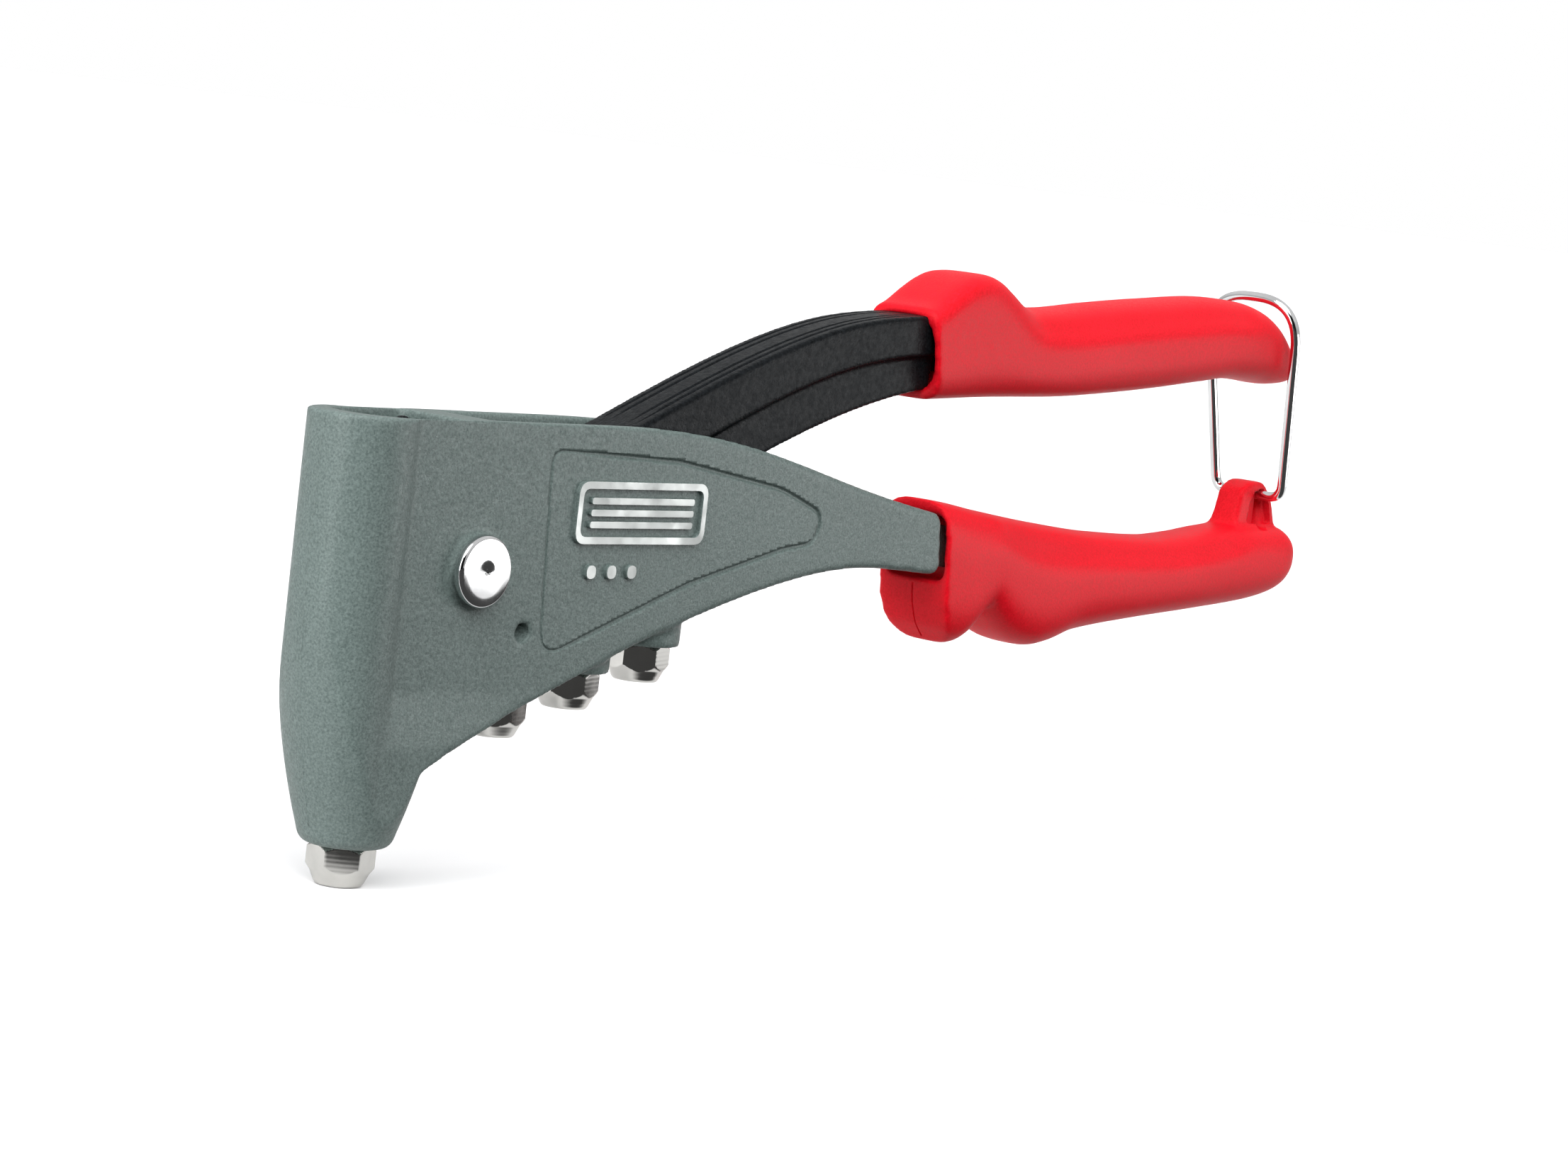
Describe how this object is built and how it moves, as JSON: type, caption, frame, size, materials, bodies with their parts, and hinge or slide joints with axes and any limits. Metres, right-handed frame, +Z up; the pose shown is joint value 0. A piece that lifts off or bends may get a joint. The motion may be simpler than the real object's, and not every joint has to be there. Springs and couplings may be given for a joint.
{
  "type": "hand riveter",
  "caption": "Lever-operated blind rivet pliers: cast head with nosepiece and spring jaws, moulded grips, locking bail and spare nosepieces stored under the arm.",
  "frame": {"origin": "centre of the working nosepiece's mouth", "axes": "+Z up the nosepiece axis into the column, +X from the nose towards the handles, +Y to the side away from the pin's head"},
  "size_m": [0.2803, 0.0232, 0.1106],
  "materials": {
    "casting_coat": "fine hammered grey-green powder coat",
    "grip_red": "fine moulded texture, soft plastic",
    "lever_coat": "black textured powder coat",
    "polished_steel": "polished chrome plating",
    "spring_steel": "drawn spring wire",
    "nickel_steel": "bright nickel on turned steel",
    "tool_steel": "ground tool steel",
    "bronze": "sintered bronze"
  },
  "bodies": {
    "casting": {"body_casting": "casting_coat", "lower_grip": "grip_red", "pivot_pin": "polished_steel", "retaining_ring": "spring_steel", "opening_spring": "spring_steel", "nosepiece_working": "nickel_steel", "nosepiece_spare_1": "nickel_steel", "nosepiece_spare_2": "nickel_steel", "nosepiece_spare_3": "nickel_steel"},
    "lever": {"lever_arm": "lever_coat", "lever_bushes": "bronze", "upper_grip": "grip_red"},
    "jaw_unit": {"pull_spool": "tool_steel", "lock_nut": "tool_steel", "jaw_case": "tool_steel", "jaw_cone": "tool_steel", "jaw_1": "tool_steel", "jaw_2": "tool_steel", "jaw_3": "tool_steel", "jaw_pusher": "tool_steel", "jaw_spring": "spring_steel"},
    "bail": {"bail_wire": "polished_steel"}
  },
  "joints": [
    {"name": "lever_pivot", "type": "hinge", "parent": "casting", "child": "lever", "pos_m": [0.0159, 0, 0.0535], "axis": [0, -1, 0], "range_deg": [-2, 37], "deforming": ["opening_spring"]},
    {"name": "jaw_slide", "type": "slide", "parent": "casting", "child": "jaw_unit", "axis": [0, 0, -1], "range_m": [-0.00057, 0.01042]},
    {"name": "bail_swing", "type": "hinge", "parent": "casting", "child": "bail", "pos_m": [0.2543, 0, 0.0686], "axis": [0, 1, 0], "range_deg": [-9.9, 181.5]}
  ],
  "couplings": [
    {"joint": "jaw_slide", "follows": "lever_pivot", "m_per_rad": 0.016113},
    {"joint": "bail_swing", "follows": "lever_pivot", "ratio": 4.9}
  ]
}
